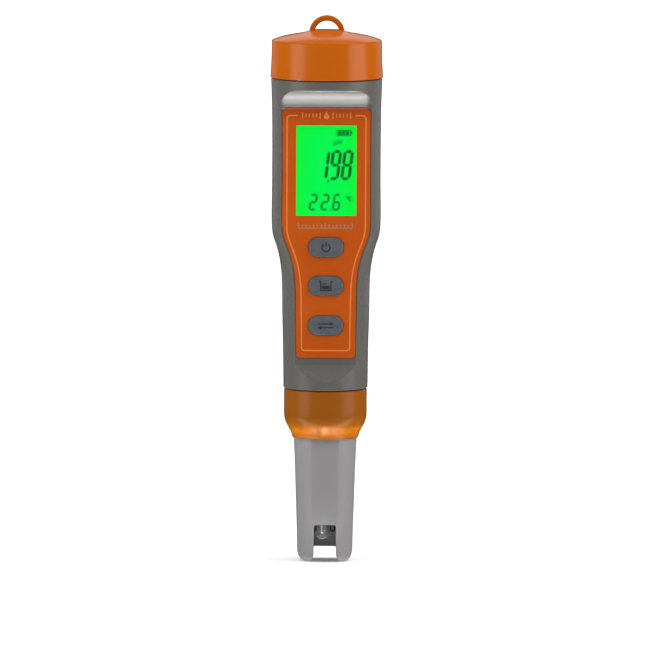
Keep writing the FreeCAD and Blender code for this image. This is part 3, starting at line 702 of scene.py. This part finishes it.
# power: broken ring and bar
z = kz["power"]
strip("power_symbol", [(circle(0, z - 0.05, 1.35, 30, 125, 415), False), ([(0, z + 0.25), (0, z + 1.75)], False)],
      0.42, KEY_Y + 0.005, KEY_Y - 0.02, INK_KEY, "power_button")
# calibrate: a beaker with its liquid line and two marks
z = kz["cal"]
strip("cal_symbol", [([(-2.3, z + 1.7), (-1.75, z + 1.35), (-1.75, z - 1.45), (1.75, z - 1.45), (1.75, z + 1.35), (2.3, z + 1.7)], False)],
      0.42, KEY_Y + 0.005, KEY_Y - 0.02, INK_KEY, "cal_button")
plate("cal_symbol_marks", [rect(-1.3, z - 0.98, 1.3, z + 0.12), rect(-0.95, z + 0.62, 0.0, z + 0.92)],
      KEY_Y + 0.005, KEY_Y - 0.02, INK_KEY, "cal_button")
# mode: two arrows that chase each other
z = kz["mode"]
strip("mode_symbol", [([(-2.6, z + 0.62), (1.5, z + 0.62)], False), ([(2.6, z - 0.62), (-1.5, z - 0.62)], False)],
      0.42, KEY_Y + 0.005, KEY_Y - 0.02, INK_KEY, "mode_button")
plate("mode_symbol_heads", [[(1.52, z + 0.05), (2.75, z + 0.62), (1.52, z + 1.4)], [(-1.52, z - 0.05), (-2.75, z - 0.62), (-1.52, z - 1.4)]],
      KEY_Y + 0.005, KEY_Y - 0.02, INK_KEY, "mode_button")

# ---------------------------------------------------------------------------
# floor, lights, camera
# ---------------------------------------------------------------------------
def floor():
    me = bpy.data.meshes.new("floor")
    s = 40.0
    me.from_pydata([(-s, -s, 0), (s, -s, 0), (s, s, 0), (-s, s, 0)], [], [(0, 1, 2, 3)])
    ob = bpy.data.objects.new("floor", me)
    ob.location = (0, 0, -0.0002)
    ob.visible_glossy = False
    ob.visible_shadow = False
    bpy.context.collection.objects.link(ob)
    m = Mat("floor_white")
    t = m.noise(3.0, 2.0)
    m.principled(m.mix(m.maprange(t, 0.3, 0.7, 0, 1), (0.90, 0.90, 0.90, 1), (0.91, 0.91, 0.91, 1)), 0.8, spec=0.0)
    me.materials.append(m.m)
    ob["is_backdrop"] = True
    return ob


floor()


def area(name, loc, target, sx, sy, radiance, diffuse=True, glossy=True, color=(1, 1, 1)):
    """A panel whose brightness is given as seen, so its size can change without changing it."""
    ld = bpy.data.lights.new(name, "AREA")
    ld.shape = "RECTANGLE"
    ld.size, ld.size_y = sx, sy
    ld.energy = radiance * math.pi * sx * sy
    ld.color = color
    ob = bpy.data.objects.new(name, ld)
    ob.location = loc
    d = Vector(target) - Vector(loc)
    ob.rotation_mode = "QUATERNION"
    ob.rotation_quaternion = d.to_track_quat("-Z", "Y")
    ob.visible_camera = False
    ob.visible_diffuse = diffuse
    ob.visible_glossy = glossy
    bpy.context.collection.objects.link(ob)
    return ob


def sun(name, azimuth, elevation, strength, angle):
    """azimuth in degrees to the right of the front, seen from the object."""
    ld = bpy.data.lights.new(name, "SUN")
    ld.energy = strength * math.pi
    ld.angle = math.radians(angle)
    ob = bpy.data.objects.new(name, ld)
    a, e = math.radians(azimuth), math.radians(elevation)
    d = Vector((math.sin(a) * math.cos(e), -math.cos(a) * math.cos(e), math.sin(e)))
    ob.rotation_mode = "QUATERNION"
    ob.rotation_quaternion = (-d).to_track_quat("-Z", "Y")
    ob.visible_glossy = False
    bpy.context.collection.objects.link(ob)
    return ob


def ring_panel(name, azimuth, dist, z, sx, sy, radiance, **kw):
    a = math.radians(azimuth)
    loc = (math.sin(a) * dist, -math.cos(a) * dist, z)
    return area(name, loc, (0, 0, z), sx, sy, radiance, **kw)


# even soft light from both sides and above, a little from behind; none of it mirrors
sun("soft_left", -80, 38, 0.50, 50)
sun("soft_right", 80, 38, 0.53, 50)
sun("soft_top", 40, 76, 0.26, 60)
sun("soft_back", 180, 60, 0.10, 60)
# glow of the lit table, which reaches only what faces down, and its beam on the collar's foot
BEAM = 3.2
sun("table_glow", 0, -90, 1.1, 14)
for k in range(36):
    a = math.radians(10.0 * k)
    beam = area("table_beam_%d" % k, (0.0121 * math.sin(a), -0.0121 * math.cos(a), 0.001),
                (0.0121 * math.sin(a), -0.0121 * math.cos(a), 1.0), 0.0022, 0.0022, BEAM, glossy=False)
    beam.data.spread = math.radians(1.5)
# panels that show as soft streaks on the gloss
ring_panel("panel_left", -62, 0.70, 0.16, 0.40, 0.34, 4.0, diffuse=False)
ring_panel("panel_right", 67, 0.70, 0.16, 0.50, 0.34, 3.8, diffuse=False)
ring_panel("panel_back_left", -140, 0.80, 0.20, 0.50, 0.40, 0.45, diffuse=False)
ring_panel("panel_back_right", 140, 0.80, 0.20, 0.50, 0.40, 0.45, diffuse=False)
area("panel_back_top", (0.0, 0.60, 0.46), (0, 0, 0.18), 0.9, 0.30, 0.9, diffuse=False)
# a lit shelf that only the scoop above the display can see, and a lit strip of table
area("panel_shelf", (-0.0005, -0.0127, 0.1553), (-0.0005, -0.0127, 1.0), 0.029, 0.0040, 24.0, diffuse=False)
area("panel_table", (0.0, -0.034, 0.004), (0.0, -0.034, 1.0), 0.30, 0.024, 5.0, diffuse=False)
area("panel_table_spot", (-0.001, -0.031, 0.005), (-0.001, -0.031, 1.0), 0.008, 0.012, 26.0, diffuse=False)

world = bpy.data.worlds.new("studio")
bpy.context.scene.world = world
world.use_nodes = True
bg = world.node_tree.nodes["Background"]
bg.inputs["Color"].default_value = (1.0, 1.0, 1.0, 1.0)
bg.inputs["Strength"].default_value = 0.55
world.cycles_visibility.glossy = False

cam_d = bpy.data.cameras.new("camera")
cam = bpy.data.objects.new("camera", cam_d)
bpy.context.collection.objects.link(cam)
DIST = 5.0
cam_d.sensor_width = 36.0
cam_d.lens = 36.0 * DIST / 0.2226
ELEV = math.radians(5.0)
TARGET = Vector((-0.00023, 0.0, 0.0807))
back = Vector((0.0, -math.cos(ELEV), math.sin(ELEV)))
cam.location = TARGET + back * DIST
cam.rotation_mode = "QUATERNION"
cam.rotation_quaternion = (-back).to_track_quat("-Z", "Y") @ Matrix.Rotation(math.radians(0.25), 4, "Z").to_quaternion()
cam_d.clip_start, cam_d.clip_end = 0.05, 60.0
cam_d.dof.use_dof = False
bpy.context.scene.camera = cam

bpy.context.scene.view_settings.view_transform = "Standard"
bpy.context.scene.view_settings.look = "None"

lo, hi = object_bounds()
